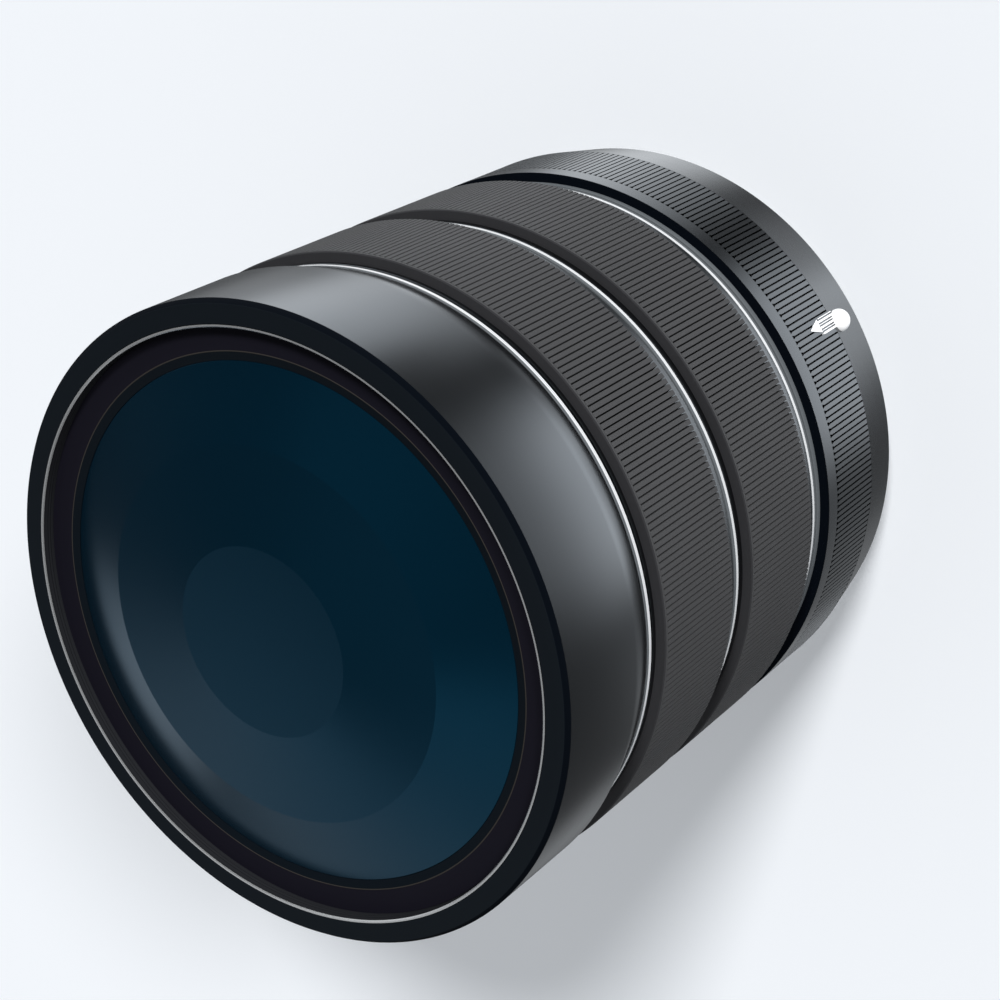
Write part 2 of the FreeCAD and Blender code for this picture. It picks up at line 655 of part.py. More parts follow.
# Focus ring and zoom ring with their grips and accent rings
turning_ring("focus_ring", focus_low, focus_high, [
    (ring_bore, focus_low), (ring_radius, focus_low), (ring_radius, focus_grip_low),
    (grip_seat_radius, focus_grip_low), (grip_seat_radius, focus_grip_high),
    (ring_radius, focus_grip_high), (ring_radius, focus_high), (ring_bore, focus_high)])
turning_ring("zoom_ring", zoom_low, zoom_high, [
    (ring_bore, zoom_low), (stripe_seat_radius, zoom_low), (stripe_seat_radius, zoom_stripe_top),
    (ring_radius, zoom_stripe_top), (ring_radius, zoom_grip_low),
    (grip_seat_radius, zoom_grip_low), (grip_seat_radius, zoom_grip_high),
    (ring_radius, zoom_grip_high), (ring_radius, zoom_shoulder),
    (stripe_seat_radius, zoom_shoulder), (stripe_seat_radius, zoom_high), (ring_bore, zoom_high)])
for label, low in (("focus_grip", focus_grip_low), ("zoom_grip", zoom_grip_low)):
    node(ribbed_sleeve(label, grip_seat_radius + size.fit_gap, grip_radius,
                       size.rib_count, low, size.grip_length), label)
for label, low in (("accent_ring_middle", zoom_shoulder), ("accent_ring_rear", zoom_low)):
    ring(label, stripe_seat_radius + size.fit_gap, ring_radius, low, low + size.stripe_width)


def sliding_group(name, low, length, lens_radius, curve, angle):
    """A cell in the guide tube with its glass, its retaining ring and its three cam pins."""
    high = low + length
    seat_height = low + size.cell_seat_height
    seat = lens_radius + size.fit_gap
    pin = low + size.pin_height
    cell = new_body(name + "_cell")
    revolve(cell, name + "_cell_turning", [
        (lens_radius - size.lens_lip, low), (cell_radius, low), (cell_radius, high), (seat, high),
        (seat, seat_height), (lens_radius - size.lens_lip, seat_height)])
    hole = bore_inwards(cell, name + "_pin_hole", circle_outline(pin, size.pin_radius + size.fit_gap),
                        guide_bore, size.pin_bite + size.slide_gap + size.fit_gap)
    repeat(cell, hole, ROLLER_COUNT)
    cell.Placement = Placement(Vector(), Rotation(Vector(0, 0, 1), angle))
    node(cell, name + "_cell")
    glass_edge = high - size.lens_inset
    polished(name + "_lens", lens_radius, seat_height, glass_edge - seat_height, curve)
    retainer_bore = lens_radius - size.retainer_wall
    ring(name + "_retainer", retainer_bore, lens_radius, glass_edge, glass_edge + size.retainer_height)
    tip = sleeve_outer - size.roller_recess
    shoulder = cell_radius + size.slide_gap / 2
    radial_group(name + "_pins", [
        (cell_radius - size.pin_bite, pin), (tip, pin), (tip, pin + size.roller_radius),
        (shoulder, pin + size.roller_radius), (shoulder, pin + size.pin_radius),
        (cell_radius - size.pin_bite, pin + size.pin_radius)], REAR_ANGLE + angle)


# Sliding groups, from the front to the rear
sliding_group("focus", group_low, size.focus_cell_length, size.focus_lens_radius, size.focus_curve, 0)
sliding_group("variator", variator_low, size.variator_cell_length, size.variator_lens_radius,
              size.variator_curve, VARIATOR_ANGLE)
sliding_group("compensator", compensator_low, size.compensator_cell_length,
              size.compensator_lens_radius, size.compensator_curve, 0)

# Rear barrel: a turning with its knurled band, the seat of the index bead and the screw holes
rear_turning = new_body("rear_turning")
knurl_root = size.barrel_radius - size.knurl_floor
barrel_bore = sleeve_outer + size.barrel_clearance
plate_seat = plate_radius + size.fit_gap
revolve(rear_turning, "rear_barrel_turning", [
    (plate_seat, flange_face), (rear_rim_radius, flange_face), (size.barrel_radius, knurl_low),
    (knurl_root, knurl_low), (knurl_root, knurl_high), (size.barrel_radius, knurl_high),
    (size.barrel_radius, barrel_step), (ring_radius, barrel_step), (ring_radius, spigot_end),
    (barrel_bore, spigot_end), (barrel_bore, tube_seat), (rear_web_bore, tube_seat),
    (rear_web_bore, rear_web_low), (plate_seat, rear_web_low)])
repeat(rear_turning, screw_hole_up(rear_turning, "web_screw_hole", mount_screw_circle, rear_web_low,
                                   size.rear_web_thickness, mount_screw_hole), size.mount_screw_count)
dot_height = knurl_low - size.dot_setback
dot_floor = size.barrel_radius - size.dot_seat
bore_inwards(rear_turning, "dot_seat_hole", circle_outline(dot_height, size.dot_radius + size.fit_gap),
             size.barrel_radius + size.dot_radius, size.dot_seat + size.dot_radius)
knurl = ribbed_sleeve("knurl", knurl_root, size.barrel_radius - size.knurl_drop, size.knurl_count,
                      knurl_low, size.knurl_length)
rear_barrel = doc.addObject("Part::Fuse", "rear_barrel")
rear_barrel.Base = rear_turning
rear_barrel.Tool = knurl
node(rear_barrel, "rear_barrel")

# Index bead: a domed pin in its drilled seat
dot_shank = doc.addObject("Part::Cylinder", "dot_shank")
dot_dome = doc.addObject("Part::Sphere", "dot_dome")
dot_surface = size.barrel_radius - (size.barrel_radius - rear_rim_radius) * size.dot_setback / (
    size.rear_band_length)
facing_out = Rotation(Vector(1, 0, 0), 90)
dot_shank.Placement = Placement(Vector(), facing_out)
bind(dot_shank, "Radius", size.dot_radius)
bind(dot_shank, "Height", dot_surface - dot_floor)
bind(dot_shank, "Placement.Base.y", -dot_floor)
bind(dot_shank, "Placement.Base.z", dot_height)
dot_dome.Placement = Placement(Vector(), facing_out)
dot_dome.Angle1 = 0
bind(dot_dome, "Radius", size.dot_radius)
bind(dot_dome, "Placement.Base.y", -dot_surface)
bind(dot_dome, "Placement.Base.z", dot_height)
index_dot = doc.addObject("Part::Fuse", "index_dot")
index_dot.Base = dot_shank
index_dot.Tool = dot_dome
node(index_dot, "index_dot")

# Rear mount: plate, throat and bayonet lugs in one piece
mount = new_body("bayonet_mount")
revolve(mount, "mount_turning", [
    (throat_bore, zero), (throat_outer, zero), (throat_outer, flange_face),
    (plate_radius, flange_face), (plate_radius, rear_web_low), (throat_bore, rear_web_low)])
lug_root = throat_outer - size.throat_wall / 2
lug_outer = throat_outer + size.lug_reach
lug = revolve(mount, "lug", [
    (lug_root, zero), (lug_outer, zero), (lug_outer, size.lug_thickness), (lug_root, size.lug_thickness)],
    angle=size.lug_angle)
repeat(mount, lug, size.lug_count)
mount_head_top = flange_face + (size.mount_head_radius - size.mount_screw_radius)
mount_head_hole = size.mount_head_radius + size.fit_gap
repeat(mount, revolve(mount, "mount_screw_hole", [
    (mount_screw_circle, flange_face), (mount_screw_circle, rear_web_low),
    (mount_screw_circle + mount_screw_hole, rear_web_low),
    (mount_screw_circle + mount_screw_hole, mount_head_top),
    (mount_screw_circle + mount_head_hole, flange_face)],
    axis="Edge1", kind="Groove"), size.mount_screw_count)
node(mount, "bayonet_mount")

mount_screws = new_body("mount_screws")
repeat(mount_screws, revolve(mount_screws, "mount_screw", [
    (mount_screw_circle, flange_face + size.fit_gap), (mount_screw_circle, mount_screw_top),
    (mount_screw_circle + size.mount_screw_radius, mount_screw_top),
    (mount_screw_circle + size.mount_screw_radius, mount_head_top),
    (mount_screw_circle + size.mount_head_radius, flange_face + size.fit_gap)],
    axis="Edge1"), size.mount_screw_count)
node(mount_screws, "mount_screws")

# Relay group: fixed cell through the throat, two glasses, the stop and the rear window
relay_low = size.relay_rear_setback
relay_top = guide_floor + size.relay_flange
relay_body = throat_bore - size.slide_gap
front_pocket = relay_top - size.stop_thickness - size.relay_front_thickness
lip_low = front_pocket - size.relay_lip_height
rear_glass_low = lip_low - size.relay_rear_thickness
relay_lip_bore = size.relay_rear_radius - size.lens_lip
turned("relay_cell", [
    (size.relay_rear_radius + size.fit_gap, relay_low), (relay_body, relay_low), (relay_body, guide_floor),
    (cell_radius, guide_floor), (cell_radius, relay_top),
    (size.relay_front_radius + size.fit_gap, relay_top),
    (size.relay_front_radius + size.fit_gap, front_pocket), (relay_lip_bore, front_pocket),
    (relay_lip_bore, lip_low), (size.relay_rear_radius + size.fit_gap, lip_low)])
polished("relay_front_lens", size.relay_front_radius, front_pocket, size.relay_front_thickness,
         size.relay_front_curve)
ring("aperture_stop", size.stop_aperture, size.relay_front_radius,
     relay_top - size.stop_thickness, relay_top)
polished("relay_rear_lens", size.relay_rear_radius, rear_glass_low, size.relay_rear_thickness,
         size.relay_rear_curve)
ring("relay_retainer", size.relay_rear_radius - size.retainer_wall, size.relay_rear_radius,
     rear_glass_low - size.retainer_height, rear_glass_low)

baffle_plate = doc.addObject("Part::Cylinder", "baffle_plate")
bind(baffle_plate, "Radius", relay_body)
bind(baffle_plate, "Height", size.baffle_thickness)
bind(baffle_plate, "Placement.Base.z", relay_low - size.baffle_thickness)
window = doc.addObject("Part::Box", "window")
bind(window, "Length", size.window_width)
bind(window, "Width", size.window_height)
bind(window, "Height", size.baffle_thickness * 3)
bind(window, "Placement.Base.x", -size.window_width / 2)
bind(window, "Placement.Base.y", -size.window_height / 2)
bind(window, "Placement.Base.z", relay_low - size.baffle_thickness * 2)
rear_baffle = doc.addObject("Part::Cut", "rear_baffle")
rear_baffle.Base = baffle_plate
rear_baffle.Tool = window
node(rear_baffle, "rear_baffle")

doc.recompute()
for feature in doc.Objects:
    if "Invalid" in feature.State or "Error" in feature.State:
        raise RuntimeError(f"{feature.Label} failed: {feature.State}")
for part in nodes:
    if part.Shape.isNull() or not part.Shape.isValid():
        raise RuntimeError(f"{part.Label} has no valid shape")

os.makedirs("parts", exist_ok=True)
for part in nodes:
    part.Shape.exportStep(os.path.join("parts", part.Label + ".step"))
    print(part.Label, len(part.Shape.Solids), round(part.Shape.Volume, 2))
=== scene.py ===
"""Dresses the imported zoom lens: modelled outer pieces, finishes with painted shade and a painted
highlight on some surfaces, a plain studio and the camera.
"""

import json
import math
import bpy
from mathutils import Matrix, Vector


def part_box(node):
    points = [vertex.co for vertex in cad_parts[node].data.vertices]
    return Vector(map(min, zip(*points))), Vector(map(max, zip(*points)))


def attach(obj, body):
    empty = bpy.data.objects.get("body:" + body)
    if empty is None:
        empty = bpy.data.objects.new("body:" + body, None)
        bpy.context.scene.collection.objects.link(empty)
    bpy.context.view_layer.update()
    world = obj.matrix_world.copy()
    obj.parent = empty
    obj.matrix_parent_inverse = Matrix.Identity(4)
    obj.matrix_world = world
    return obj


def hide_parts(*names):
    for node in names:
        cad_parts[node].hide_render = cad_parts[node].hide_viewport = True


bl_info = {
    "name": "Two-ring zoom lens",
    "version": (1, 0, 0),
    "blender": (4, 5, 0),
    "location": "3D View > Sidebar > Zoom lens",
    "description": "Models the visible pieces of a zoom lens over its CAD frame",
    "category": "Object",
}

import bpy
from mathutils import Euler, Vector

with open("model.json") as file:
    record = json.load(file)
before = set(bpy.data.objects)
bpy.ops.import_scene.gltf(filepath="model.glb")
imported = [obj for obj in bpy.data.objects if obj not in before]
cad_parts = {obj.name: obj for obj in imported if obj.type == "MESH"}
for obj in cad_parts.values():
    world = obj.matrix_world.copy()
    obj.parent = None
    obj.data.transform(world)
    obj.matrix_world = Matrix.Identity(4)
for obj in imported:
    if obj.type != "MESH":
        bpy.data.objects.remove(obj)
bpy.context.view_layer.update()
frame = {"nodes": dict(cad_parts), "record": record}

MM = 0.001
AXIS = (0, 0, 1)
CENTRE = (0, 0, 0)


def heights(node):
    """Lowest and highest point of a CAD node along the optical axis, in millimetres."""
    low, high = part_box(node)
    return low.z / MM, high.z / MM


def radius(node):
    """Outer radius of a round CAD node, in millimetres."""
    low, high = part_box(node)
    return (high.x - low.x) / 2 / MM


BARREL_RADIUS = radius("front_barrel")
RING_RADIUS = radius("focus_ring")
GRIP_RADIUS = radius("focus_grip")
FRONT_LOW, FRONT_FACE = heights("front_barrel")
FRONT_SHOULDER = heights("accent_ring_front")[1]
REAR_LOW, SPIGOT_END = heights("rear_barrel")
KNURL_LOW, KNURL_HIGH = REAR_LOW + 7.0, REAR_LOW + 15.5

# Radii inside the CAD pieces, which their boxes don't give: the shoulder under an accent ring, the
# bottom of a grip's groove, and the gap of pieces that are pressed together
STRIPE_SEAT = 31.3
GRIP_SEAT = 31.9
FIT_GAP = 0.03


# Selection and shaping, as at the screen

def deselect_all():
    """Leaves edit mode and selects nothing."""
    if bpy.context.mode != "OBJECT":
        bpy.ops.object.mode_set(mode="OBJECT")
    bpy.ops.object.select_all(action="DESELECT")


def pick(piece):
    """Selects one object and makes it the active one."""
    deselect_all()
    piece.select_set(True)
    bpy.context.view_layer.objects.active = piece


def settle(piece):
    """Puts a new object's place into its mesh, so that the object sits at the origin."""
    pick(piece)
    bpy.ops.object.transform_apply(location=True, rotation=True, scale=True)


def edit(piece):
    pick(piece)
    bpy.ops.object.mode_set(mode="EDIT")
    bpy.ops.mesh.select_mode(type="VERT")


def select_points(piece, wanted):
    """Selects the vertices of a piece in edit mode whose place, in millimetres, passes a test."""
    bpy.ops.mesh.select_all(action="DESELECT")
    bpy.ops.object.mode_set(mode="OBJECT")
    for point in piece.data.vertices:
        point.select = bool(wanted(point.co / MM))
    bpy.ops.object.mode_set(mode="EDIT")


def apply_modifiers(piece):
    pick(piece)
    for modifier in list(piece.modifiers):
        bpy.ops.object.modifier_apply(modifier=modifier.name)


def join(piece, *others):
    pick(piece)
    for other in others:
        other.select_set(True)
    bpy.ops.object.join()


def turning(name, section, steps, rounding=0.0):
    """Extrudes a section of (radius, height) corners in millimetres and spins it round the axis.

    A section that starts on the axis also ends there, and any other is closed.
    """
    closed = section[0][0] > 0
    path = section + section[:1] if closed else section
    deselect_all()
    bpy.ops.mesh.primitive_plane_add(size=MM, location=(path[0][0] * MM, 0, path[0][1] * MM))
    piece = bpy.context.object
    piece.name = piece.data.name = name
    settle(piece)
    edit(piece)
    bpy.ops.mesh.merge(type="CENTER")
    for (r0, z0), (r1, z1) in zip(path, path[1:]):
        bpy.ops.mesh.extrude_region_move(
            TRANSFORM_OT_translate={"value": ((r1 - r0) * MM, 0, (z1 - z0) * MM)})
    bpy.ops.mesh.select_all(action="SELECT")
    bpy.ops.mesh.spin(steps=steps, angle=math.tau, center=CENTRE, axis=AXIS)
    bpy.ops.mesh.select_all(action="SELECT")
    bpy.ops.mesh.remove_doubles(threshold=0.002 * MM)
    bpy.ops.mesh.normals_make_consistent(inside=False)
    bpy.ops.object.mode_set(mode="OBJECT")
    if rounding:
        bevel = piece.modifiers.new("edge rounding", "BEVEL")
        bevel.width = rounding * MM
        bevel.segments = 3
        bevel.limit_method = "ANGLE"
        bevel.angle_limit = math.radians(25)
        apply_modifiers(piece)
    return piece


def smooth(piece, degrees=35):
    """Smooth shading that keeps flat faces flat and stops at hard edges."""
    pick(piece)
    bpy.ops.object.shade_smooth_by_angle(angle=math.radians(degrees))
    weighted = piece.modifiers.new("weighted shading", "WEIGHTED_NORMAL")
    weighted.keep_sharp = True
    weighted.weight = 80
    apply_modifiers(piece)


def ribs(name, count, root, tip, low, high, top_share, ramp, taper=0.0):
    """One rib with sloping sides and ends, then a full circle of its copies.

    A taper narrows the front end of the rib over that length, which opens the groove's end into a dot.
    The foot is sunk into the sleeve and a little wider than the pitch, so that no gap shows.
    """
    foot = root - 0.12
    width = 1.02 * math.tau * tip / count
    deselect_all()
    bpy.ops.mesh.primitive_cube_add(size=MM, scale=(tip - foot, width, high - low),
                                    location=((foot + tip) / 2 * MM, 0, (low + high) / 2 * MM))
    piece = bpy.context.object
    piece.name = piece.data.name = name
    settle(piece)
    edit(piece)
    select_points(piece, lambda p: p.x > (foot + tip) / 2)
    bpy.ops.transform.resize(value=(1, top_share, 1 - 2 * ramp / (high - low)),
                             center_override=(tip * MM, 0, (low + high) / 2 * MM))
    if taper:
        bpy.ops.mesh.select_all(action="SELECT")
        bpy.ops.mesh.bisect(plane_co=(0, 0, (high - taper) * MM), plane_no=AXIS)
        select_points(piece, lambda p: p.z > high - taper / 2)
        end_share = 0.45
        bpy.ops.transform.resize(value=(1, end_share, 1), center_override=(tip * MM, 0, high * MM))
    bpy.ops.mesh.select_all(action="SELECT")
    bpy.ops.mesh.spin(steps=count - 1, angle=math.tau * (count - 1) / count, dupli=True,
                      center=CENTRE, axis=AXIS)
    bpy.ops.object.mode_set(mode="OBJECT")
    return piece


# Finishes

def hex_colour(text):
    """An sRGB hex colour as linear red, green, blue and alpha."""
    channels = [int(text[i:i + 2], 16) / 255 for i in (1, 3, 5)]
    return (*[c / 12.92 if c <= 0.04045 else ((c + 0.055) / 1.055) ** 2.4 for c in channels], 1.0)


def add_node(tree, kind, settings=(), links=()):
    """Adds a node, sets its properties or input values, and links outputs to its inputs."""
    node = tree.nodes.new(kind)
    for key, value in dict(settings).items():
        if isinstance(key, str) and hasattr(node, key):
            setattr(node, key, value)
        else:
            node.inputs[key].default_value = value
    for key, output in dict(links).items():
        tree.links.new(output, node.inputs[key])
    return node


def new_finish(name, **values):
    """A material with its surface shader, and the tree to add detail to."""
    material = bpy.data.materials.new(name)
    material.use_nodes = True
    tree = material.node_tree
    surface = tree.nodes["Principled BSDF"]
    for key, value in values.items():
        surface.inputs[key.replace("_", " ")].default_value = value
    return material, tree, surface


def round_coordinates(tree, across, along):
    """Coordinates that run round the axis and along it, in steps of the given sizes in metres."""
    place = add_node(tree, "ShaderNodeTexCoord")
    split = add_node(tree, "ShaderNodeSeparateXYZ", links={0: place.outputs["Object"]})
    angle = add_node(tree, "ShaderNodeMath", {"operation": "ARCTAN2"},
                     {0: split.outputs["Y"], 1: split.outputs["X"]})
    flat = add_node(tree, "ShaderNodeCombineXYZ",
                    links={"X": split.outputs["X"], "Y": split.outputs["Y"]})
    distance = add_node(tree, "ShaderNodeVectorMath", {"operation": "LENGTH"}, {0: flat.outputs[0]})
    turn = add_node(tree, "ShaderNodeMath", {"operation": "MULTIPLY", 1: BARREL_RADIUS * MM / across},
                    {0: angle.outputs[0]})
    rise = add_node(tree, "ShaderNodeMath", {"operation": "MULTIPLY", 1: 1 / along},
                    {0: split.outputs["Z"]})
    reach = add_node(tree, "ShaderNodeMath", {"operation": "MULTIPLY", 1: 1 / along},
                     {0: distance.outputs["Value"]})
    return add_node(tree, "ShaderNodeCombineXYZ", links={
        "X": turn.outputs[0], "Y": reach.outputs[0], "Z": rise.outputs[0]}).outputs[0]


def roughen(tree, surface, pattern, low, high):
    """Varies the roughness between two values with a pattern."""
    span = add_node(tree, "ShaderNodeMapRange", {"To Min": low, "To Max": high}, {"Value": pattern})
    tree.links.new(span.outputs[0], surface.inputs["Roughness"])


def raise_bump(tree, surface, pattern, height, strength):
    """Raises the surface by a pattern of the given height in millimetres."""
    bump = add_node(tree, "ShaderNodeBump", {"Distance": height * MM, "Strength": strength},
                    {"Height": pattern})
    tree.links.new(bump.outputs["Normal"], surface.inputs["Normal"])


def vary_colour(tree, surface, pattern, colour, spread):
    """Lets a pattern darken and lighten a colour by a share of it."""
    blend = add_node(tree, "ShaderNodeMix", {"data_type": "RGBA"})
    blend.inputs[6].default_value = [*[c * (1 - spread) for c in colour[:3]], 1.0]
    blend.inputs[7].default_value = [*[min(1.0, c * (1 + spread)) for c in colour[:3]], 1.0]
    tree.links.new(pattern, blend.inputs[0])
    tree.links.new(blend.outputs[2], surface.inputs["Base Color"])


def blasted_grain(tree):
    """Grain of 0.05 mm from bead blasting, drawn at 0.12 mm so that it shows."""
    place = add_node(tree, "ShaderNodeTexCoord")
    grain = add_node(tree, "ShaderNodeTexNoise", {"Scale": 8000.0, "Detail": 1.0},
                     {"Vector": place.outputs["Object"]})
    return grain.outputs["Fac"]


def turned_anodising(name, colour, low, high):
    """Aluminium turned on a lathe, blasted and dyed: a satin metal with faint rings and a fine grain."""
    material, tree, surface = new_finish(name, Metallic=1.0)
    # Lathe feed marks of 0.12 mm, drawn at 0.5 mm so that they show
    rings = add_node(tree, "ShaderNodeTexNoise", {"Scale": 1.0, "Detail": 2.0},
                     {"Vector": round_coordinates(tree, 0.06, 0.0005)})
    vary_colour(tree, surface, rings.outputs["Fac"], colour, 0.03)
    roughen(tree, surface, rings.outputs["Fac"], low, high)
    raise_bump(tree, surface, blasted_grain(tree), 0.002, 0.15)
    return material


def matt_anodising(name, colour, shine=0.08):
    """Anodising over a coarse blast, as used round a lens mouth: nearly black and without highlights."""
    material, tree, surface = new_finish(name, Specular_IOR_Level=shine)
    # Lathe feed marks of 0.12 mm, drawn at 0.6 mm so that they show
    rings = add_node(tree, "ShaderNodeTexNoise", {"Scale": 1.0, "Detail": 2.0},
                     {"Vector": round_coordinates(tree, 0.06, 0.0006)})
    vary_colour(tree, surface, rings.outputs["Fac"], colour, 0.1)
    roughen(tree, surface, rings.outputs["Fac"], 0.5, 0.65)
    raise_bump(tree, surface, blasted_grain(tree), 0.004, 0.25)
    return material


def satin_aluminium(name, colour, metallic, low, high):
    """Clear anodised, diamond turned aluminium: almost white, with a soft even shine.

    The oxide film scatters a share of the light, so the surface is metallic in part only.
    """
    material, tree, surface = new_finish(name, Metallic=metallic)
    # Marks of the diamond tool, under 0.05 mm, drawn at 0.4 mm so that they show
    rings = add_node(tree, "ShaderNodeTexNoise", {"Scale": 1.0, "Detail": 1.0},
                     {"Vector": round_coordinates(tree, 0.08, 0.0004)})
    vary_colour(tree, surface, rings.outputs["Fac"], colour, 0.02)
    roughen(tree, surface, rings.outputs["Fac"], low, high)
    return material


def moulded_rubber(name, colour):
    """Nitrile rubber from a blasted mould: matt, with a fine grain and slightly cloudy."""
    material, tree, surface = new_finish(name, IOR=1.5, Specular_IOR_Level=0.15)
    place = add_node(tree, "ShaderNodeTexCoord")
    # Mould grain of 0.1 mm
    grain = add_node(tree, "ShaderNodeTexNoise", {"Scale": 9000.0, "Detail": 2.0},
                     {"Vector": place.outputs["Object"]})
    # Bloom of the rubber, in clouds of about 8 mm
    patches = add_node(tree, "ShaderNodeTexNoise", {"Scale": 120.0, "Detail": 3.0},
                       {"Vector": place.outputs["Object"]})
    vary_colour(tree, surface, patches.outputs["Fac"], colour, 0.08)
    roughen(tree, surface, grain.outputs["Fac"], 0.5, 0.66)
    raise_bump(tree, surface, grain.outputs["Fac"], 0.005, 0.3)
    return material


def coated_glass(name, colour, tint, ior):
    """Front element of infrared glass: dark to the eye, with a broad blue reflection of its coating."""
    material, tree, surface = new_finish(name, IOR=ior, Base_Color=colour, Specular_Tint=tint)
    place = add_node(tree, "ShaderNodeTexCoord")
    # Polishing haze, a slow drift over some 6 mm
    haze = add_node(tree, "ShaderNodeTexNoise", {"Scale": 160.0, "Detail": 2.0},
                    {"Vector": place.outputs["Object"]})
    roughen(tree, surface, haze.outputs["Fac"], 0.22, 0.26)
    return material


def clear_glass(name, colour):
    """Crown glass with a magnesium fluoride coating: clear, with a weak violet reflection."""
    material, tree, surface = new_finish(name, IOR=1.52, Transmission_Weight=1.0, Base_Color=colour)
    place = add_node(tree, "ShaderNodeTexCoord")
    # Polishing haze, a slow drift over some 3 mm
    haze = add_node(tree, "ShaderNodeTexNoise", {"Scale": 300.0}, {"Vector": place.outputs["Object"]})
    roughen(tree, surface, haze.outputs["Fac"], 0.01, 0.04)
    return material


def machined_metal(name, colour, low, high):
    """Steel or brass as it leaves the lathe: clear rings round the axis."""
    material, tree, surface = new_finish(name, Metallic=1.0)
    # Feed marks of 0.1 mm, drawn at 0.3 mm so that they show
    rings = add_node(tree, "ShaderNodeTexNoise", {"Scale": 1.0, "Detail": 2.0},
                     {"Vector": round_coordinates(tree, 0.08, 0.0003)})
    vary_colour(tree, surface, rings.outputs["Fac"], colour, 0.05)
    roughen(tree, surface, rings.outputs["Fac"], low, high)
    raise_bump(tree, surface, rings.outputs["Fac"], 0.003, 0.3)
    return material


def stoved_enamel(name, colour):
    """Filled and stoved enamel: opaque, glossy, with a slight orange peel."""
    material, tree, surface = new_finish(name, Roughness=0.4, IOR=1.5, Base_Color=colour)
    place = add_node(tree, "ShaderNodeTexCoord")
    # Orange peel of 0.4 mm
    peel = add_node(tree, "ShaderNodeTexNoise", {"Scale": 2500.0}, {"Vector": place.outputs["Object"]})
    raise_bump(tree, surface, peel.outputs["Fac"], 0.006, 0.15)
    return material


def dress(piece, material):
    piece.data.materials.clear()
    piece.data.materials.append(material)


def place_on(piece, body, slot, material, *nodes):
    """Gives a finished piece its material and its body, and hides the CAD nodes that it stands for."""
    dress(piece, material)
    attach(piece, body)
    if nodes:
        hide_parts(*nodes)


def touch_up(piece, material, wanted):
    """Gives another finish to the faces whose centre, in millimetres, passes a test."""
    piece.data.materials.append(material)
    for face in piece.data.polygons:
        if wanted(face.center / MM):
            face.material_index = len(piece.data.materials) - 1


def reach(point):
    """Distance of a point from the optical axis, in the point's own unit."""
    return math.hypot(point.x, point.y)


# Sizes and colours that a user would change

def length(name, description, millimetres):
    return bpy.props.FloatProperty(name=name, description=description, default=millimetres * MM,
                                   min=0.0, subtype="DISTANCE", unit="LENGTH", precision=5)


def share(name, description, default):
    return bpy.props.FloatProperty(name=name, description=description, default=default, min=0.1,
                                   max=0.95, subtype="FACTOR")


def colour(name, description, text):
    return bpy.props.FloatVectorProperty(name=name, description=description, default=hex_colour(text),
                                         size=4, min=0.0, max=1.0, subtype="COLOR")


class LensSizes(bpy.types.PropertyGroup):
    """Sizes of the dressed pieces."""
    turning_steps: bpy.props.IntProperty(
        name="Turning steps", description="Segments round each turned piece", default=360, min=96)
    edge_rounding: length("Edge rounding", "Radius broken on turned edges", 0.08)
    grip_ribs: bpy.props.IntProperty(
        name="Grip ribs", description="Ribs round each grip", default=324, min=40)
    grip_depth: length("Grip depth", "Depth of the grooves in the rubber", 0.7)
    grip_top: share("Grip top", "Share of the pitch that a rib's flat top takes", 0.72)
    knurl_ribs: bpy.props.IntProperty(
        name="Knurl ribs", description="Ribs round the rear barrel", default=316, min=40)
    knurl_depth: length("Knurl depth", "Depth of the knurl's grooves", 0.32)
    knurl_top: share("Knurl top", "Share of the pitch that a knurl's flat top takes", 0.7)


class LensColours(bpy.types.PropertyGroup):
    """Colours of the finishes."""
    black: colour("Black anodising", "Front and rear barrels", "#5a5d60")
    face: colour("Front face", "Matt face of the front barrel", "#11161b")
    grey: colour("Grey anodising", "Turning rings", "#6e7174")
    bright: colour("Bright metal", "Accent rings and the edge of the filter ring", "#f2f3f4")
    thread: colour("Thread wall", "Inside of the filter ring", "#252629")
    rubber: colour("Rubber", "Ribs of the grips", "#404041")
    # Painted shade: the front walls of the grips are coloured darker than the ribs
    rubber_wall: colour("Rubber wall", "Front walls of the grips", "#2f2f31")
    # Painted shade: near black for the floors of the grooves in grips and knurl
    groove: colour("Groove floor", "Floors of the grooves in grips and knurl", "#121213")
    # Painted shadow: near black for the shoulder in front of the knurled band, also used on the front
    # chamfer
    step: colour("Step", "Shoulder in front of the knurled band", "#070b11")
    spigot: colour("Spigot", "Narrow land beside the bright rings", "#5c6063")
    retainer: colour("Retaining ring", "Ring round the glass", "#16151d")
    lip: colour("Retaining lip", "Sloping lip next to the glass", "#0c1218")
    # Painted highlight: a lighter line on the ridge at the retaining ring's inner edge
    painted_highlight_edge: colour("Painted edge highlight", "Edge of the retaining ring", "#35322f")
    glass: colour("Glass", "Body of the front glass", "#011521")
    coating: colour("Coating", "Reflection of the front glass", "#4ac5ff")
    enamel: colour("Enamel", "Index mark", "#ffffff")
    steel: colour("Mount steel", "Rear mount", "#c8c8c6")
    screw: colour("Screw steel", "Screws", "#3c3c3e")
    brass: colour("Brass", "Guide pins", "#c8a25a")
    black_brass: colour("Blackened brass", "Retainers", "#1d1c1b")
    clear: colour("Clear glass", "Inner lenses", "#e9f1f2")
    inner_black: colour("Inner black", "Cells and tubes", "#151617")


def sizes():
    return bpy.context.scene.lens_sizes


def colours():
    return bpy.context.scene.lens_colours


def finish(name, make, *values):
    """A finish that several pieces share, made once."""
    return bpy.data.materials.get(name) or make(name, *values)


def black_metal():
    return finish("black anodised aluminium", turned_anodising, colours().black, 0.23, 0.26)


# Painted shade for the floors of the grooves
def painted_groove_shade():
    return finish("dark groove floor", matt_anodising, colours().groove)


# Painted shadow, near black, for the step in front of the knurl and the front chamfer
def painted_shade_black():
    return finish("matt black step", matt_anodising, colours().step, 0.03)


def land():
    return finish("grey satin land", matt_anodising, colours().spigot, 0.4)


def bright_edge():
    return finish("bright turned aluminium", satin_aluminium, colours().bright, 0.85, 0.2, 0.3)


# Pieces

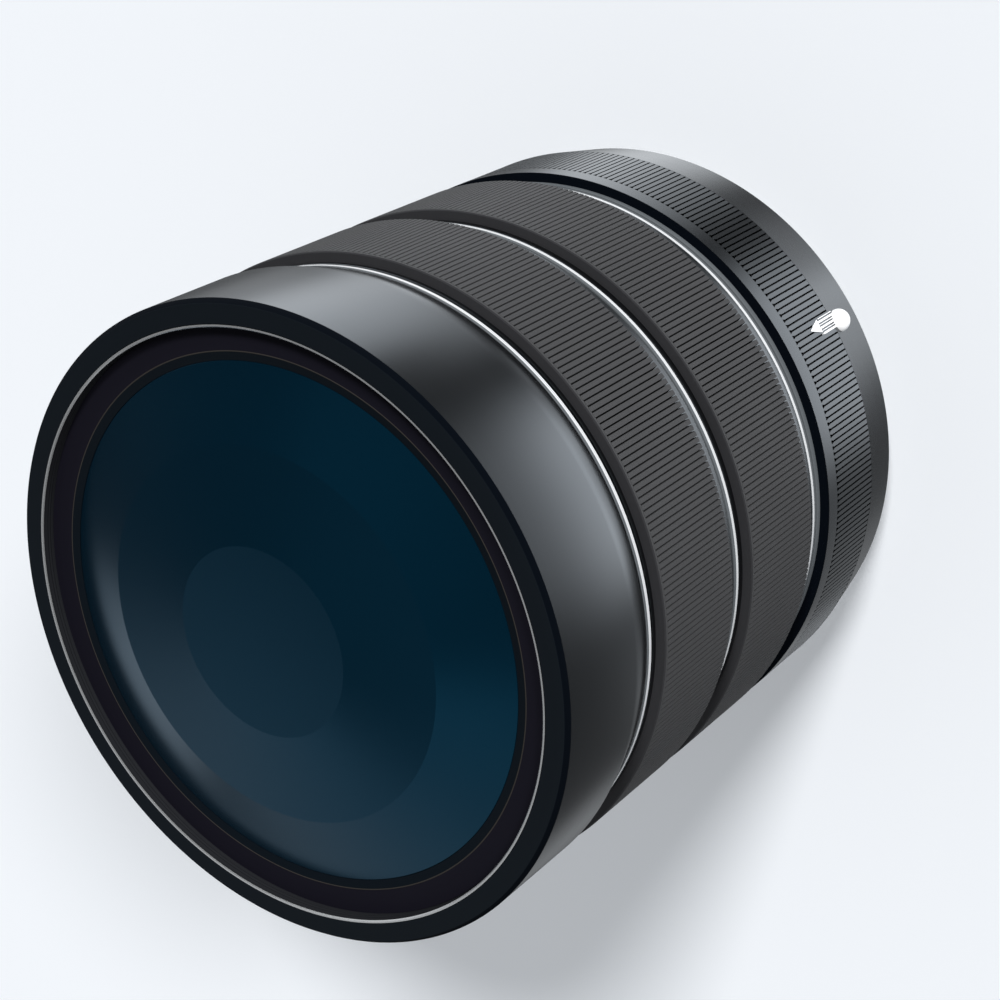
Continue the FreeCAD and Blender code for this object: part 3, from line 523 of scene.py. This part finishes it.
class LENS_OT_front_barrel(bpy.types.Operator):
    """Turns the plain front barrel with its cone, face and thread seat"""
    bl_idname = "lens.front_barrel"
    bl_label = "Front barrel"

    def execute(self, context):
        seat_low = heights("filter_ring")[0]
        seat = radius("filter_ring") + FIT_GAP
        bore = radius("name_ring") + FIT_GAP
        crease = FRONT_SHOULDER + 3.83
        chamfer = FRONT_FACE - 0.5
        rim = BARREL_RADIUS - 0.4
        web_top = FRONT_SHOULDER + 1.6
        web_opening = 26.0
        rear_bore = 30.43
        piece = turning("front_barrel_shell", [
            (STRIPE_SEAT, FRONT_LOW), (STRIPE_SEAT, FRONT_SHOULDER), (RING_RADIUS, FRONT_SHOULDER),
            (BARREL_RADIUS, crease), (BARREL_RADIUS, chamfer), (rim, FRONT_FACE), (seat, FRONT_FACE),
            (seat, seat_low), (bore, seat_low), (bore, web_top), (web_opening, web_top),
            (web_opening, FRONT_SHOULDER), (rear_bore, FRONT_SHOULDER), (rear_bore, FRONT_LOW)],
            sizes().turning_steps, sizes().edge_rounding / MM)
        smooth(piece, 20)
        place_on(piece, "barrel", "black_anodised", black_metal(), "front_barrel")
        matt = finish("matt black anodised face", matt_anodising, colours().face)
        # The face and the inner walls are matt, and so is the chamfer, which is darker still: near black
        # painted shade
        touch_up(piece, matt, lambda p: p.z > chamfer - 0.02
                 or reach(p) < STRIPE_SEAT and p.z > FRONT_SHOULDER + 1)
        touch_up(piece, painted_shade_black(), lambda p: p.z > chamfer - 0.02 and reach(p) > rim + 0.02)
        return {"FINISHED"}


class LENS_OT_mouth(bpy.types.Operator):
    """Turns the bright filter ring and the dark retaining ring round the glass"""
    bl_idname = "lens.mouth"
    bl_label = "Mouth of the lens"

    def execute(self, context):
        low, high = heights("filter_ring")
        outer = radius("filter_ring")
        bore = outer - 0.27
        floor = heights("name_ring")[1]
        threads = []
        # Filter thread of 0.75 mm pitch, drawn at half of that so that two turns show
        pitch = 0.36
        depth = 0.04
        height = floor + pitch / 3
        while height < high - 0.4:
            threads += [(bore, height), (bore + depth, height + pitch / 2)]
            height += pitch
        piece = turning("filter_thread_ring", [
            (outer, low), (outer, high), (bore + 0.1, high), (bore, high - 0.1)]
            + threads[::-1] + [(bore, low)], sizes().turning_steps)
        smooth(piece, 20)
        place_on(piece, "barrel", "bright_aluminium", bright_edge(), "filter_ring")
        wall = finish("matt black thread", matt_anodising, colours().thread)
        touch_up(piece, wall, lambda p: p.z < high - 0.12)

        low, high = heights("name_ring")
        outer = radius("name_ring")
        lip = 28.03
        opening = 27.15
        # The edge beside the lip stands on a ridge of 0.03 mm and is coloured lighter as a painted
        # highlight
        piece = turning("retaining_ring", [
            (opening, low), (outer, low), (outer, high), (lip + 0.12, high), (lip + 0.06, high + 0.03),
            (lip, high), (opening, high - 0.18)], sizes().turning_steps)
        smooth(piece, 12)
        matt = finish("matt black retaining ring", matt_anodising, colours().retainer, 0.05)
        place_on(piece, "barrel", "black_anodised", matt, "name_ring")
        touch_up(piece, finish("matt black lip", matt_anodising, colours().lip),
                 lambda p: reach(p) < lip - 0.02)
        # Painted highlight on the ridge beside the lip
        touch_up(piece, finish("worn anodised edge", matt_anodising, colours().painted_highlight_edge),
                 lambda p: p.z > high + 0.01)
        return {"FINISHED"}


class LENS_OT_front_glass(bpy.types.Operator):
    """Turns the bulging front glass with its three zones"""
    bl_idname = "lens.front_glass"
    bl_label = "Front glass"

    def execute(self, context):
        low, high = heights("front_glass")
        outer = radius("front_glass")
        shoulder = low + 4.0
        edge = 27.12
        # Where each zone begins: its radius, and its rise over the front face
        zones = ((edge, -1.66), (19.66, 0.74), (9.92, 2.03))
        piece = turning("front_glass_element", [
            (0.0, low), (outer, low), (outer, shoulder), (edge, shoulder),
            *[(begin, FRONT_FACE + rise) for begin, rise in zones], (0.0, high)],
            sizes().turning_steps, 0.05)
        # The zones meet at a few degrees, and their edges have to stay
        smooth(piece, 3)
        blue = coated_glass("blue coated infrared glass", colours().glass, colours().coating, 1.8)
        place_on(piece, "barrel", "coated_glass", blue, "front_glass")
        return {"FINISHED"}


class LENS_OT_accent_rings(bpy.types.Operator):
    """Turns the three thin rings, each with a bright line between two grey lands"""
    bl_idname = "lens.accent_rings"
    bl_label = "Accent rings"

    def execute(self, context):
        bright = finish("satin clear anodised aluminium", satin_aluminium, colours().bright,
                        0.3, 0.35, 0.45)
        bore = STRIPE_SEAT + FIT_GAP
        for name, body, rear_land in (("front", "barrel", 0.0), ("middle", "zoom_ring_group", 0.0),
                                      ("rear", "zoom_ring_group", 0.3)):
            node = "accent_ring_" + name
            low, high = heights(node)
            outer = radius(node)
            # A line of 0.5 mm catches the light, and the lands beside it look grey in the photo
            bright_low = low + rear_land
            bright_high = bright_low + 0.5
            piece = turning(name + "_bright_ring", [
                (bore, low), (outer - 0.1, low), (outer, low + 0.08), (outer, bright_low + 0.09),
                (outer, bright_high), (outer, high - 0.04), (outer - 0.05, high), (bore, high)],
                sizes().turning_steps)
            smooth(piece, 20)
            place_on(piece, body, "bright_aluminium", bright, node)
            touch_up(piece, land(), lambda p: not bright_low < p.z < bright_high)
        return {"FINISHED"}


class LENS_OT_turning_rings(bpy.types.Operator):
    """Turns the grey focus ring and zoom ring that carry the grips"""
    bl_idname = "lens.turning_rings"
    bl_label = "Turning rings"

    def execute(self, context):
        grey = finish("grey anodised aluminium", turned_anodising, colours().grey, 0.27, 0.31)
        bore = 29.43
        for name in ("focus", "zoom"):
            low, high = heights(name + "_ring")
            grip_low, grip_high = heights(name + "_grip")
            rear_end, front_end = [(RING_RADIUS, low)], [(RING_RADIUS, high)]
            if name == "zoom":
                rear = heights("accent_ring_rear")[1]
                front = heights("accent_ring_middle")[0]
                rear_end = [(STRIPE_SEAT, low), (STRIPE_SEAT, rear), (RING_RADIUS, rear)]
                front_end = [(RING_RADIUS, front), (STRIPE_SEAT, front), (STRIPE_SEAT, high)]
            groove = [(RING_RADIUS, grip_low), (GRIP_SEAT, grip_low), (GRIP_SEAT, grip_high),
                      (RING_RADIUS, grip_high)]
            piece = turning(name + "_ring_shell",
                            [(bore, low)] + rear_end + groove + front_end + [(bore, high)],
                            sizes().turning_steps, sizes().edge_rounding / MM)
            smooth(piece, 20)
            place_on(piece, name + "_ring_group", "grey_anodised", grey, name + "_ring")
        return {"FINISHED"}


class LENS_OT_grips(bpy.types.Operator):
    """Moulds the two ribbed rubber grips"""
    bl_idname = "lens.grips"
    bl_label = "Rubber grips"

    def execute(self, context):
        rubber = finish("moulded nitrile rubber", moulded_rubber, colours().rubber)
        bore = GRIP_SEAT + FIT_GAP
        root = GRIP_RADIUS - sizes().grip_depth / MM
        lip = GRIP_RADIUS - 0.02
        for name in ("focus", "zoom"):
            low, high = heights(name + "_grip")
            wall_low = high - 0.38
            sleeve = turning(name + "_rubber", [
                (bore, low), (root - 0.1, low), (root, low + 0.1), (root, wall_low - 0.02),
                (lip, wall_low), (lip, high - 0.12), (lip - 0.12, high), (bore, high)],
                sizes().turning_steps)
            band = ribs(name + "_ribs", sizes().grip_ribs, root, GRIP_RADIUS, low, high - 0.25,
                        sizes().grip_top, ramp=0.1)
            join(sleeve, band)
            smooth(sleeve, 20)
            place_on(sleeve, name + "_ring_group", "rubber", rubber, name + "_grip")
            # Painted shade on the floors of the grip's grooves
            touch_up(sleeve, painted_groove_shade(), lambda p: abs(reach(p) - root) < 0.01)
            # Painted shade on the front wall of the grip
            touch_up(sleeve, finish("moulded rubber wall", moulded_rubber, colours().rubber_wall),
                     lambda p: p.z > high - 0.1)
        return {"FINISHED"}


class LENS_OT_rear_barrel(bpy.types.Operator):
    """Turns the rear barrel and adds its knurled band"""
    bl_idname = "lens.rear_barrel"
    bl_label = "Rear barrel"

    def execute(self, context):
        root = BARREL_RADIUS - sizes().knurl_depth / MM
        step = SPIGOT_END - 0.72
        web_low, web_high = REAR_LOW + 2.0, REAR_LOW + 4.4
        rear_rim = 32.35
        mount_seat = 30.53
        bore = 29.75
        web_opening = 24.0
        piece = turning("rear_barrel_shell", [
            (mount_seat, REAR_LOW), (rear_rim, REAR_LOW), (BARREL_RADIUS, KNURL_LOW), (root, KNURL_LOW),
            (root, KNURL_HIGH), (BARREL_RADIUS, KNURL_HIGH), (BARREL_RADIUS, step), (RING_RADIUS, step),
            (RING_RADIUS, SPIGOT_END), (bore, SPIGOT_END), (bore, web_high), (web_opening, web_high),
            (web_opening, web_low), (mount_seat, web_low)], sizes().turning_steps, 0.05)
        band = ribs("knurl_ribs", sizes().knurl_ribs, root, BARREL_RADIUS - 0.02, KNURL_LOW, KNURL_HIGH,
                    sizes().knurl_top, ramp=0.0, taper=0.45)
        join(piece, band)
        smooth(piece, 20)
        place_on(piece, "barrel", "black_anodised", black_metal(), "rear_barrel")
        # Painted shade on the floors of the knurl's grooves
        touch_up(piece, painted_groove_shade(), lambda p: abs(reach(p) - root) < 0.01)
        # Painted shadow on the step in front of the knurl
        touch_up(piece, painted_shade_black(),
                 lambda p: abs(p.z - step) < 0.05 and reach(p) < BARREL_RADIUS - 0.03)
        # The land beside the rear bright ring: side and front end of the spigot, but not its bore
        touch_up(piece, land(), lambda p: p.z > step + 0.06 and reach(p) > bore + 1)
        return {"FINISHED"}


class LENS_OT_index_mark(bpy.types.Operator):
    """Domes the white index bead and fills its tail into the knurl"""
    bl_idname = "lens.index_mark"
    bl_label = "Index mark"

    def fill_grooves(self):
        """Enamel in three knurl grooves in front of the bead, and a thin line on each rib between.

        As in the photo, the tail stands a little to one side of the bead.
        """
        low = KNURL_LOW - 0.7
        root = BARREL_RADIUS - sizes().knurl_depth / MM
        middle = (BARREL_RADIUS + root) / 2
        turn = math.tau / sizes().knurl_ribs
        groove_width = turn * BARREL_RADIUS * (1 - sizes().knurl_top) + 0.02
        line_width = 0.08
        end_slope = 0.2
        fills = []
        for line in range(-1, 5):
            angle = -math.pi / 2 + line * turn / 2
            extent = 3.8 - 0.2 * abs(line - 1.5)
            deselect_all()
            bpy.ops.mesh.primitive_cube_add(
                size=MM, rotation=(0, 0, angle),
                scale=(BARREL_RADIUS - root - 0.01, groove_width if line % 2 else line_width, extent),
                location=(middle * MM * math.cos(angle), middle * MM * math.sin(angle),
                          (low + extent / 2) * MM))
            fill = bpy.context.object
            settle(fill)
            edit(fill)
            select_points(fill, lambda p: p.z > low + extent / 2 and reach(p) > middle)
            bpy.ops.transform.translate(value=(0, 0, -end_slope * MM))
            bpy.ops.object.mode_set(mode="OBJECT")
            fills.append(fill)
        return fills

    def tip(self):
        """The mark's solid point, laid over the ribs."""
        deselect_all()
        side = 0.6 * MM
        height = KNURL_LOW + 3.8
        bpy.ops.mesh.primitive_cube_add(size=MM, scale=(1.5, 0.16, 2.0),
                                        location=(side, -(BARREL_RADIUS - 0.04) * MM, height * MM))
        piece = bpy.context.object
        settle(piece)
        edit(piece)
        select_points(piece, lambda p: p.z > height)
        bpy.ops.transform.resize(value=(0.04, 1, 1), center_override=(side, 0, 0))
        bpy.ops.object.mode_set(mode="OBJECT")
        return piece

    def execute(self, context):
        low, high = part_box("index_dot")
        bead = (high.z - low.z) / 2
        deselect_all()
        bpy.ops.mesh.primitive_uv_sphere_add(segments=48, ring_count=24, radius=bead,
                                             location=(0, low.y + bead, (low.z + high.z) / 2))
        piece = bpy.context.object
        piece.name = piece.data.name = "index_bead"
        settle(piece)
        edit(piece)
        surface = (low.y + bead) / MM
        select_points(piece, lambda p: p.y > surface + 0.01)
        bpy.ops.mesh.delete(type="VERT")
        select_points(piece, lambda p: p.y > surface - 0.01)
        bpy.ops.mesh.edge_face_add()
        shank = 1.0
        bpy.ops.mesh.extrude_region_move(TRANSFORM_OT_translate={"value": (0, shank * MM, 0)})
        bpy.ops.mesh.select_all(action="SELECT")
        bpy.ops.mesh.normals_make_consistent(inside=False)
        bpy.ops.object.mode_set(mode="OBJECT")
        join(piece, *self.fill_grooves(), self.tip())
        smooth(piece, 40)
        white = stoved_enamel("white stoved enamel", colours().enamel)
        place_on(piece, "barrel", "white_enamel", white, "index_dot")
        return {"FINISHED"}


class LENS_OT_rear_mount(bpy.types.Operator):
    """Finishes the rear mount, its screws and the inner pieces"""
    bl_idname = "lens.rear_mount"
    bl_label = "Rear mount and inner pieces"

    def execute(self, context):
        steel = machined_metal("turned stainless steel", colours().steel, 0.2, 0.34)
        screw = machined_metal("blackened steel screws", colours().screw, 0.3, 0.45)
        brass = machined_metal("turned brass", colours().brass, 0.2, 0.35)
        dark_brass = machined_metal("blackened brass", colours().black_brass, 0.4, 0.55)
        clear = clear_glass("coated crown glass", colours().clear)
        matt = matt_anodising("matt black anodised aluminium", colours().inner_black)
        finishes = {"mount_steel": steel, "screw_steel": screw, "pin_brass": brass,
                    "black_brass": dark_brass, "clear_glass": clear, "matt_black_aluminium": matt}
        slots = {row["node"]: row["material_slot"] for row in frame["record"]["subparts"]}
        for name, piece in frame["nodes"].items():
            if slots[name] in finishes:
                dress(piece, finishes[slots[name]])
        return {"FINISHED"}


# Stage, light and camera

# Soft panels round the lens that its glossy surfaces mirror, in degrees: compass direction, half width,
# soft edge, lowest and highest height, and then the strength
PANELS = (
    (-6, 20, 14, -36, 25, 1.2), (30, 20, 14, -50, 25, 0.5), (6, 20, 13, -54, -38, 1.9),
    (8, 34, 14, -62, -54, 1.2), (40, 24, 14, -70, -58, 1.1), (-92, 26, 18, -52, 12, 0.35),
    (-102, 38, 20, -66, -56, 2.7), (-103, 34, 20, -90, -60, 1.2), (-50, 30, 20, -90, -68, 0.6),
    (178, 38, 20, -62, -55, 0.4), (130, 10, 9, -58, -40, 0.3), (118, 26, 12, 8, 44, 0.38),
    (145, 18, 12, 44, 64, 0.36), (90, 8, 6, -2, 8, 0.85), (60, 80, 10, 58, 86, 0.1))


def soft_mask(tree, value, first, last):
    mask = add_node(tree, "ShaderNodeMapRange", {
        "interpolation_type": "SMOOTHSTEP", "From Min": first, "From Max": last}, {"Value": value})
    return mask.outputs[0]


def multiply(tree, first, second):
    return add_node(tree, "ShaderNodeMath", {"operation": "MULTIPLY"}, {0: first, 1: second}).outputs[0]


def panel(tree, way, rise, level, azimuth, half, edge, low, high, strength):
    """Adds one soft panel to the level of light in a direction.

    Its lower and upper ends fade over 8 degrees, half of them on each side.
    """
    fade = 4
    turn = math.radians(azimuth)
    facing = add_node(tree, "ShaderNodeVectorMath",
                      {"operation": "DOT_PRODUCT", 1: (math.cos(turn), math.sin(turn), 0)}, {0: way})
    mask = soft_mask(tree, facing.outputs["Value"], math.cos(math.radians(half + edge)),
                     math.cos(math.radians(half - edge)))
    mask = multiply(tree, mask, soft_mask(tree, rise, math.sin(math.radians(high + fade)),
                                          math.sin(math.radians(high - fade))))
    if low > -90:
        mask = multiply(tree, mask, soft_mask(tree, rise, math.sin(math.radians(low - fade)),
                                              math.sin(math.radians(low + fade))))
    return add_node(tree, "ShaderNodeMath", {"operation": "MULTIPLY_ADD", 1: strength},
                    {0: mask, 2: level}).outputs[0]


def sun(name, azimuth, height, width, power):
    """A soft lamp far away, by its compass direction, height and width in degrees."""
    light = bpy.data.lights.new(name, "SUN")
    light.energy = power
    light.angle = math.radians(width)
    lamp = bpy.data.objects.new(name, light)
    bpy.context.scene.collection.objects.link(lamp)
    turn, rise = math.radians(azimuth), math.radians(height)
    towards = Vector((math.cos(turn) * math.cos(rise), math.sin(turn) * math.cos(rise), math.sin(rise)))
    lamp.rotation_euler = (-towards).to_track_quat("-Z", "Y").to_euler()
    # Metal and glass mirror the panels alone
    lamp.visible_glossy = False


class LENS_OT_stage(bpy.types.Operator):
    """Lays the pale floor and sets the light and the camera"""
    bl_idname = "lens.stage"
    bl_label = "Stage"

    def lay_floor(self):
        deselect_all()
        bpy.ops.mesh.primitive_circle_add(vertices=96, radius=3.0, fill_type="NGON")
        floor = bpy.context.object
        floor.name = "floor"
        paper = new_finish("white studio paper", Roughness=0.9, Specular_IOR_Level=0.1,
                           Base_Color=hex_colour("#f4f7fb"))[0]
        dress(floor, paper)
        # As with the lamps, so that the lens mirrors the panels alone
        floor.visible_glossy = False

    def mirrored_panels(self, tree, direction, rise):
        """The level of light that glossy surfaces see in each direction: a dim sky and the panels."""
        flat = add_node(tree, "ShaderNodeVectorMath", {"operation": "MULTIPLY", 1: (1, 1, 0)},
                        {0: direction})
        way = add_node(tree, "ShaderNodeVectorMath", {"operation": "NORMALIZE"}, {0: flat.outputs[0]})
        dim = add_node(tree, "ShaderNodeMapRange", {
            "From Min": -0.1, "From Max": 0.1, "To Min": 0.12, "To Max": 0.06}, {"Value": rise})
        level = dim.outputs[0]
        for values in PANELS:
            level = panel(tree, way.outputs[0], rise, level, *values)
        return level

    def light_sky(self, scene):
        """Panels for glossy rays, and for all others a plain sky that fades towards the top."""
        world = bpy.data.worlds.new("studio")
        scene.world = world
        world.use_nodes = True
        # Without light samples of its own, so that each kind of ray finds its own sky
        world.cycles.sampling_method = "NONE"
        tree = world.node_tree
        direction = add_node(tree, "ShaderNodeTexCoord").outputs["Generated"]
        rise = add_node(tree, "ShaderNodeSeparateXYZ", links={0: direction}).outputs["Z"]
        level = self.mirrored_panels(tree, direction, rise)
        plain = add_node(tree, "ShaderNodeMapRange", {
            "From Min": 0.25, "From Max": 0.7, "To Min": 0.76, "To Max": 0.16}, {"Value": rise})
        path = add_node(tree, "ShaderNodeLightPath")
        blend = add_node(tree, "ShaderNodeMix", {"data_type": "FLOAT"}, {
            0: path.outputs["Is Glossy Ray"], 2: plain.outputs[0], 3: level})
        sky = tree.nodes["Background"]
        sky.inputs["Color"].default_value = hex_colour("#f4f8fc")
        tree.links.new(blend.outputs[0], sky.inputs["Strength"])

    def set_camera(self, scene):
        """The photo's camera, fitted to the ellipses of the lens."""
        camera = bpy.data.cameras.new("photo_camera")
        camera.lens = 77.75
        camera.sensor_width = 36
        camera.clip_start, camera.clip_end = 0.01, 20
        viewer = bpy.data.objects.new("photo_camera", camera)
        scene.collection.objects.link(viewer)
        viewer.location = Vector((11.154, -154.978, 215.030)) * MM
        viewer.rotation_euler = Euler([math.radians(a) for a in (-24.072, 34.0407, -124.4403)])
        scene.camera = viewer
        scene.view_settings.view_transform = "Standard"

    def execute(self, context):
        self.lay_floor()
        self.light_sky(context.scene)
        sun("key", -56, 42, 12, 2.3)
        sun("fill", -81, 33, 12, 1.35)
        self.set_camera(context.scene)
        return {"FINISHED"}


class LENS_PT_panel(bpy.types.Panel):
    """Lists the steps that dress the lens"""
    bl_label = "Zoom lens"
    bl_idname = "LENS_PT_panel"
    bl_space_type = "VIEW_3D"
    bl_region_type = "UI"
    bl_category = "Zoom lens"

    def draw(self, context):
        for step in STEPS:
            self.layout.operator(step.bl_idname)
        for group in (context.scene.lens_sizes, context.scene.lens_colours):
            box = self.layout.box()
            for key in group.__annotations__:
                box.prop(group, key)


STEPS = (LENS_OT_stage, LENS_OT_front_barrel, LENS_OT_mouth, LENS_OT_front_glass,
         LENS_OT_accent_rings, LENS_OT_turning_rings, LENS_OT_grips, LENS_OT_rear_barrel,
         LENS_OT_index_mark, LENS_OT_rear_mount)
CLASSES = (LensSizes, LensColours, *STEPS, LENS_PT_panel)


def register():
    for item in CLASSES:
        bpy.utils.register_class(item)
    bpy.types.Scene.lens_sizes = bpy.props.PointerProperty(type=LensSizes)
    bpy.types.Scene.lens_colours = bpy.props.PointerProperty(type=LensColours)


def unregister():
    del bpy.types.Scene.lens_colours
    del bpy.types.Scene.lens_sizes
    for item in reversed(CLASSES):
        bpy.utils.unregister_class(item)


def main():
    register()
    bpy.ops.lens.stage()
    bpy.ops.lens.front_barrel()
    bpy.ops.lens.mouth()
    bpy.ops.lens.front_glass()
    bpy.ops.lens.accent_rings()
    bpy.ops.lens.turning_rings()
    bpy.ops.lens.grips()
    bpy.ops.lens.rear_barrel()
    bpy.ops.lens.index_mark()
    bpy.ops.lens.rear_mount()


if __name__ == "__main__":
    main()
